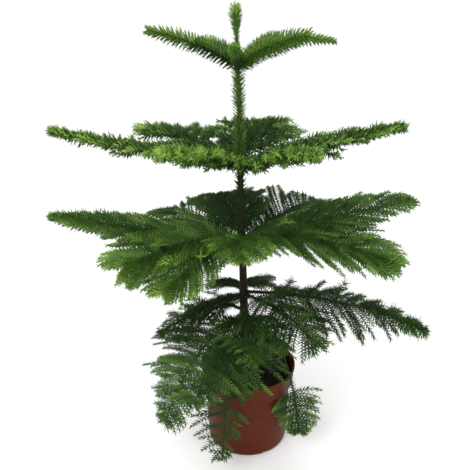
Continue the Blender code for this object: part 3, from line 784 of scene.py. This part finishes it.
# what sets single fronds apart: shares of the usual pitch, length and needles, by how many
# degrees less branchlets turn, and how much fresher it is; on which side they change (1 is left
# as seen from the trunk, -1 right, 0 both), from and by where on the limb, and to what share of
# their length; and from where on every second one is missing, and how much higher the rest rise
usualFrond = {
    "pitch": 1, "length": 1, "needles": 1, "turn": 0, "fresher": 0, "side": (0, 0, 1, 1), "ladder": (1, 0),
}
singleFronds = {
    ("top", 0): {"needles": 0.72},
    ("top", 1): {"needles": 1.15},
    ("top", 2): {"needles": 0.72},
    ("upper", 1): {"fresher": 0.06},
    ("upper", 2): {"pitch": 1.1, "fresher": 0.14},
    ("upper", 3): {"pitch": 1.1, "fresher": 0.14},
    ("upper", 4): {"fresher": 0.22},
    ("upper", 5): {"length": 0.78, "turn": 6, "fresher": 0.20},
    ("middle", 0): {
        "pitch": 0.82, "length": 0.86, "turn": -4, "fresher": 0.06, "side": (1, 0.55, 0.12, 0.16)},
    ("middle", 3): {"ladder": (0.62, 0.10)},
    ("middle", 4): {"pitch": 1.05, "side": (1, 0.0, 0.1, 1.4), "ladder": (0.42, 0.35)},
    ("middle", 5): {"pitch": 1.1, "side": (-1, 0.0, 0.1, 1.4)},
    ("middle", 6): {"pitch": 1.15, "ladder": (0.40, 0.30)},
    ("middle", 7): {"fresher": 0.12},
    ("middle", 8): {
        "pitch": 0.80, "length": 0.94, "turn": -6, "fresher": 0.10, "side": (1, 0.75, 0.20, 0.30)},
    ("lower", 1): {"fresher": 0.05, "side": (0, 0.72, 0.94, 1.3)},
    ("lowest", 0): {"pitch": 0.62, "fresher": 0.06},
    ("lowest", 3): {"pitch": 0.86, "fresher": 0.04},
    ("lowest", 4): {"fresher": -0.04, "side": (1, 0.54, 0.90, 0.40)},
    ("lowest", 5): {"side": (1, 0.0, 0.05, 0.60)},
}


def habit(whorl, index):
    # what one frond's branchlets and needles are like
    return sprays[whorl["name"]], {**usualFrond, **singleFronds.get((whorl["name"], index), {})}


keepOff = {
    "pot": 0.0075, "floor": 0.012,
    "rimWidth": 0.022, "sideBelow": 0.13,   # further in and higher, twigs go up instead of out
    "inside": 0.02,     # a branchlet that would end this deep in the pot is left out
}


def potSurface(z):
    # how far out the pot reaches at a height
    bandFoot = pot["height"] - pot["bandHeight"]
    if z > bandFoot:
        share = (z - bandFoot) / pot["bandHeight"]
        return pot["bandFootRadius"] + (pot["rimRadius"] - pot["bandFootRadius"]) * share
    return pot["footRadius"] + (pot["bodyTopRadius"] - pot["footRadius"]) * z / bandFoot


def clearOfPot(point):
    # pushes a twig's point out to lie along the pot, or up over its rim and soil
    point = point.copy()
    radius = math.hypot(point.x, point.y)
    over = pot["height"] + keepOff["pot"]
    outside = potSurface(max(0, min(point.z, pot["height"]))) + keepOff["pot"]
    if point.z < over and radius < outside:
        if radius > pot["rimRadius"] - keepOff["rimWidth"] or point.z < keepOff["sideBelow"]:
            factor = outside / max(radius, 1e-6)
            point.x *= factor
            point.y *= factor
        else:
            point.z = over
    point.z = max(point.z, keepOff["floor"])
    return point


branchlet = {
    "shownBare": 0.13, "hiddenBare": 0.05,  # on limbs bare up to the first they start at the second
    "last": 0.97, "crowding": 1.3,          # closer set towards the tip, where above 1
    "places": {1: 0.25, -1: 0.75}, "placeStray": 0.15,      # left and right by turns
    "tipFrom": 0.8, "tipTurn": 20,          # degrees by which the last ones close up
    "sags": (0.1, 1.2), "fall": 0.75, "mostFall": 0.6,      # share of its lift lost by its end
    "uprightLift": 1.3, "uprightLength": 0.45, "uprightNeedles": 1.5, "uprightUnder": 0.1,
    "shortest": 0.3, "steps": 6, "radius": 0.0009, "thinning": 0.3, "taper": 0.6,
}


def branchletPoints(root, outward, bend, length):
    # within the solids' depth and off the pot, or none for one that would end in the pot
    end = root + (outward + bend) * length
    over = max(end.y - cadBox[1][1], cadBox[0][1] - end.y)
    if over > 0:
        length *= max(branchlet["shortest"], 1 - over / abs(end.y - root.y))
    inside = potSurface(max(0, end.z)) - keepOff["inside"]
    if end.z < pot["height"] and math.hypot(end.x, end.y) < inside:
        return []
    shares = [k / branchlet["steps"] for k in range(branchlet["steps"] + 1)]
    return [clearOfPot(root + (outward * t + bend * t * t) * length) for t in shares]


def branchlets(whorl, index, axis):
    # set closer than in the solids; yields the place on the limb, needles' size, light and points
    rng = random.Random(f"{whorl['name']} {index} sprays")
    own, frond = habit(whorl, index)
    b = branchlet
    bare = axis.bare if axis.bare > b["shownBare"] else b["hiddenBare"]
    pitch = own["pitch"] * axis.thin * frond["pitch"]
    pairs = round(axis.tip.length * (b["last"] - bare) / pitch)
    changed, start, full, factor = frond["side"]
    ladderFrom, ladderRise = frond["ladder"]
    lowest, highest = own["lift"]
    for i in range(pairs):
        for side in (1, -1):
            along = (i + b["places"][side] + rng.uniform(-b["placeStray"], b["placeStray"])) / pairs
            share = bare + (b["last"] - bare) * (1 - (1 - along) ** b["crowding"])
            if share > ladderFrom and i % 2:
                continue
            closing = b["tipTurn"] * max(0, (share - b["tipFrom"]) / (1 - b["tipFrom"]))
            turn = own["turn"][0] - own["turn"][1] * share - closing - frond["turn"]
            turn = math.radians(turn + rng.uniform(-1, 1) * own["jitter"] * axis.thin ** 2)
            length = axis.branchletLength(share) * rng.uniform(*own["lengths"]) * frond["length"]
            if changed in (0, side):
                length *= 1 + (factor - 1) * max(0, min(1, (share - start) / (full - start)))
            lift = rng.uniform(lowest, highest)
            # branchlets that rise take lighter tones and those that hang take darker ones: painted light
            # from above and painted shade beneath
            light = own["lit"] * ((lift - lowest) / (highest - lowest) - 0.5)
            raised = own["arch"] * max(0, math.sin(axis.azimuth))
            raised += ladderRise if share > ladderFrom else 0
            stout = 1
            if rng.random() < own["upright"] and raised < b["uprightUnder"]:
                lift = b["uprightLift"]
                length *= b["uprightLength"]
                stout = b["uprightNeedles"]
            lift += raised
            forward, across = axis.direction(share), axis.side(share) * side
            outward = forward * math.cos(turn) + across * math.sin(turn) + up * lift
            sag = own["droop"] * axis.sag * rng.uniform(*b["sags"])
            sag += b["fall"] * max(0, min(lift, b["mostFall"]))
            bend = forward * own["forward"] - up * sag
            points = branchletPoints(axis.point(share), outward, bend, length)
            if points:
                yield share, rng, stout, light, points


# needles over and under a twig, where they stand all round and where not: the middle of their
# ranks (0 is down), from rank to rank, how many ranks, times the pitch, and tones darker, which
# is painted shade under the twig and on the offset second ranks between the first
halves = {
    True: [("over", math.pi, math.pi / 5, 5, 4, 0), ("over too", math.pi * 1.1, math.pi / 5, 5, 4, 1),
           ("under", 0, math.pi / 5, 5, 4, 1), ("under too", math.pi * 0.1, math.pi / 5, 5, 4, 2)],
    False: [("over", math.pi, math.pi / 2, 3, 4 / 3, 0), ("under", 0, 0, 1, 4, 1)],
}
needleChance = {"looseness": 0.11, "stray": 0.12}
needling = {
    "mostInPiece": 48000, "thickness": 1.15,    # times the width
    "opening": math.radians(56), "budFrom": 0.72, "budShorter": 0.25, "budCloser": 0.5,
    "twigLengths": (0.88, 1.12), "spineLead": 0.12, "spineLast": 0.96, "spineSteps": 16,
}
# points of a spine and of a branchlet that share a tone, and how far along they are
spineParts = ((0, 8, 0.1), (8, 13, 0.45), (13, 16, 0.95))
branchletParts = ((0, 3, 0.0), (3, 5, 0.5), (5, 6, 1.0))
toning = {
    "freshAndFrontLit": 0.42, "thinLoss": 0.45, "perFreshAndFrontLit": 2.0, "stray": 0.28, "branchletStray": 0.13,
    "evenAlong": 0.2, "spineDarker": 0.2,
}


def toneFor(freshAndFrontLit, tipward, rng):
    tone = toning["perFreshAndFrontLit"] * freshAndFrontLit + tipward + rng.gauss(0, toning["stray"])
    return int(max(0, min(len(tones) - 1, tone)))


def needlePoints(points, length, opening=needling["opening"]):
    # gives a twig's points their needles' length and opening, closing to a bud at the tip
    result = []
    for k, point in enumerate(points):
        bud = max(0, (k / (len(points) - 1) - needling["budFrom"]) / (1 - needling["budFrom"]))
        size = length * (1 - needling["budShorter"] * bud)
        result.append((point, size, opening * (1 - needling["budCloser"] * bud)))
    return result


def dressFrond(whorl, index, axis, dress):
    # calls dress with each stretch of needles and its tone, and returns the branchlets' paths
    own, frond = habit(whorl, index)
    # fronds facing the front, where the key lamp stands, take lighter tones and those at the back darker:
    # painted light on the front and painted shade at the back
    front = -math.sin(axis.azimuth)
    freshAndFrontLit = toning["freshAndFrontLit"] + own["front"] * front + own["fresh"]
    freshAndFrontLit += frond["fresher"] - toning["thinLoss"] * (axis.thin - 1)
    first = max(own["needleFrom"], axis.bare - needling["spineLead"])
    steps = needling["spineSteps"]
    spine = [axis.point(first + (needling["spineLast"] - first) * k / steps) for k in range(steps + 1)]
    spineRng = random.Random(f"{whorl['name']} {index} spine")
    opening = own.get("opening", needling["opening"])
    marked = needlePoints(spine, own["axisNeedle"] * frond["needles"], opening)
    for start, end, along in spineParts:
        # the spine's needles, beneath the branchlets, are made darker: painted shade
        tipward = own["contrast"] * (along - toning["evenAlong"]) - toning["spineDarker"]
        dress(marked[start:end + 1], toneFor(freshAndFrontLit, tipward, spineRng))
    if not axis.spread:
        return []
    paths = []
    for share, rng, stout, light, points in branchlets(whorl, index, axis):
        radius = branchlet["radius"] * (1 - branchlet["thinning"] * share)
        paths.append([(point, radius * (1 - branchlet["taper"] * k / branchlet["steps"]), 0)
                      for k, point in enumerate(points)])
        marked = needlePoints(points, own["twigNeedle"] * stout * rng.uniform(*needling["twigLengths"]))
        mood = freshAndFrontLit + own["outer"] * (share - 0.5) + rng.gauss(0, toning["branchletStray"])
        for start, end, along in branchletParts:
            tipward = own["contrast"] * (along - toning["evenAlong"]) + light
            dress(marked[start:end + 1], toneFor(mood, tipward, rng))
    return paths


def growNeedles(name, needlePaths, masses):
    # a piece for each half and tone, or several where it would hold too many needles
    own = sprays[name]
    for side, middle, turn, ranks, sparser, _ in halves[own["round"]]:
        for number, tone in enumerate(tones):
            paths = needlePaths[side, tone]
            if not paths:
                continue
            pitch = own["needlePitch"] * sparser
            total = sum((b[0] - a[0]).length for path in paths for a, b in zip(path, path[1:]))
            batches = math.ceil(total / pitch / needling["mostInPiece"])
            for batch in range(batches):
                label = f"{name} {tone} needles {side}" + (f" {batch + 1}" if batches > 1 else "")
                needles = grown(label, pathsObject("needle paths", paths[batch::batches]), trees["needle"],
                                pitch=pitch, width=own["width"],
                                thickness=own["width"] * needling["thickness"],
                                first=middle - turn * (ranks - 1) / 2, turn=turn, ranks=ranks,
                                seed=100 * number + batch, material=materials[tone], **needleChance)
                belongs(needles, "young_needles" if tone in ("fresh", "tip") else "needles", *masses)


def growWhorl(whorl):
    # its limbs, twigs and needles, each kind joined for the whole whorl
    name = whorl["name"]
    sides = halves[sprays[name]["round"]]
    needlePaths = {(side[0], tone): [] for side in sides for tone in tones}

    def dress(stretch, tone):
        # needles under the twig and on the offset ranks take darker tones: painted shade
        for label, *_, darker in sides:
            needlePaths[label, tones[max(0, tone - darker)]].append(stretch)

    twigPaths = []
    for index, axis in enumerate(axes[name]):
        twigPaths += dressFrond(whorl, index, axis, dress)
    numbers = range(1, len(axes[name]) + 1)
    masses = [f"{name}_shoot_{i}" if name == "top" else f"{name}_frond_{i}" for i in numbers]
    boughs = [] if name == "top" else [f"{name}_bough_{i}" for i in numbers]
    limbPaths = [limbPoints(axis) for axis in axes[name]]
    limbs = grown(f"{name} limbs", pathsObject("limb paths", limbPaths), trees["limb"],
                  material=materials["limb"], **limbShape)
    belongs(limbs, "green_wood" if name in ("top", "upper") else "bark", *(boughs or masses))
    if twigPaths:
        twigs = grown(f"{name} twigs", pathsObject("twig paths", twigPaths), trees["twig"], sides=3,
                      material=materials["twig"])
        belongs(twigs, "green_wood", *masses)
    growNeedles(name, needlePaths, masses)


for whorl in whorls:
    growWhorl(whorl)


# with more ranks than needles, so that each one has its own direction
leaderNeedles = {
    "width": 0.0032, "thickness": 0.0024, "looseness": 0.16, "turn": goldenAngle, "ranks": 5000,
    "stray": 0.2, "seed": 7,
}
leader = {
    "length": 0.0160, "opening": math.radians(50), "steps": 60, "top": 0.8330,
    "slimFrom": 0.735, "slimWithin": 0.03, "slimming": 0.55,    # shorter from the top whorl up
    "crownFrom": 0.79, "fullBy": 0.65,      # longer again in the crown, and by this share of it in full
    "crownShorter": 0.15, "crownCloser": 0.45,
}
heightOf = {whorl["name"]: whorl["height"] for whorl in whorls}

# each band's name, foot and top, its needles' tone and pitch; the dark and inner bands set darker needles
# among the lighter ones as painted shade between them
leaderBands = [
    ("lower", 0.452, heightOf["upper"], "shade", 0.00070),
    ("green", heightOf["upper"], heightOf["top"], "mid", 0.00085),
    ("dark", heightOf["upper"], 0.800, "deep", 0.00090),
    ("leader", heightOf["top"], 0.800, "mid", 0.00090),
    ("tuft", 0.800, 0.822, "mid", 0.00034),
    ("inner", 0.800, 0.822, "deep", 0.00060),
    ("top", 0.820, leader["top"], "fresh", 0.00026),
]


def leaderPoint(z):
    slim = max(0, min(1, (z - leader["slimFrom"]) / leader["slimWithin"]))
    crown = max(0, (z - leader["crownFrom"]) / (leader["top"] - leader["crownFrom"]))
    size = 1 - leader["slimming"] * slim * (1 - min(1, crown / leader["fullBy"]))
    return (trunkCentre(z), leader["length"] * size * (1 - leader["crownShorter"] * crown ** 8),
            leader["opening"] * (1 - leader["crownCloser"] * crown ** 5))


def growLeader():
    # needles on the green part of the trunk, sparse and dark below and a dense tuft at the top
    for label, foot, top, tone, pitch in leaderBands:
        steps = leader["steps"]
        points = [leaderPoint(foot + (top - foot) * i / steps) for i in range(steps + 1)]
        needles = grown(f"trunk {label} needles", pathsObject("leader path", [points]), trees["needle"],
                        pitch=pitch, first=foot, material=materials[tone], **leaderNeedles)
        belongs(needles, "needles", "trunk")


growLeader()


# floor, light and camera

studio = {
    "floorRadius": 14.0, "floorColour": (0.96, 0.96, 0.955, 1), "worldStrength": 1.05,
    "lookAt": (0, 0, 0.4),
    # each lamp's place, size and power
    "lamps": {
        "key": ((-0.9, -1.7, 1.7), 1.1, 26.0),
        "fill": ((1.8, -1.2, 1.0), 1.6, 7.0),
        "rim": ((-0.4, 1.9, 1.6), 1.4, 8.0),
    },
    # fitted to the photo: the camera's place, its tilt, and its focal length in widths of the photo
    "eye": (-0.026, -0.969, 0.817), "tilt": math.radians(69), "focalWidths": 560 / 470,
    "sensorWidth": 36, "nearest": 0.02,
}


def buildFloor():
    bm = bmesh.new()
    bmesh.ops.create_circle(bm, cap_ends=True, segments=96, radius=studio["floorRadius"])
    finish = Finish("pale floor", Base_Color=studio["floorColour"], Roughness=0.9)
    floor = addObject("studio floor", meshFrom("studio floor", bm, finish.material))


def buildLights():
    world = bpy.data.worlds.new("studio")
    bpy.context.scene.world = world
    world.use_nodes = True
    background = world.node_tree.nodes["Background"].inputs
    background["Color"].default_value = (1, 1, 1, 1)
    background["Strength"].default_value = studio["worldStrength"]
    for name, (place, size, power) in studio["lamps"].items():
        light = bpy.data.lights.new(name, "AREA")
        light.size = size
        light.energy = power
        lamp = addObject(name, light)
        lamp.location = place
        lamp.rotation_euler = (Vector(studio["lookAt"]) - Vector(place)).to_track_quat("-Z", "Y").to_euler()


def placeCamera():
    camera = bpy.data.cameras.new("camera")
    camera.sensor_width = studio["sensorWidth"]
    camera.lens = studio["focalWidths"] * studio["sensorWidth"]
    camera.clip_start = studio["nearest"]
    eye = addObject("camera", camera)
    eye.location = studio["eye"]
    eye.rotation_euler = (studio["tilt"], 0, 0)
    bpy.context.scene.camera = eye
    bpy.context.scene.view_settings.view_transform = "Standard"


buildFloor()
buildLights()
placeCamera()
print("studio ready")
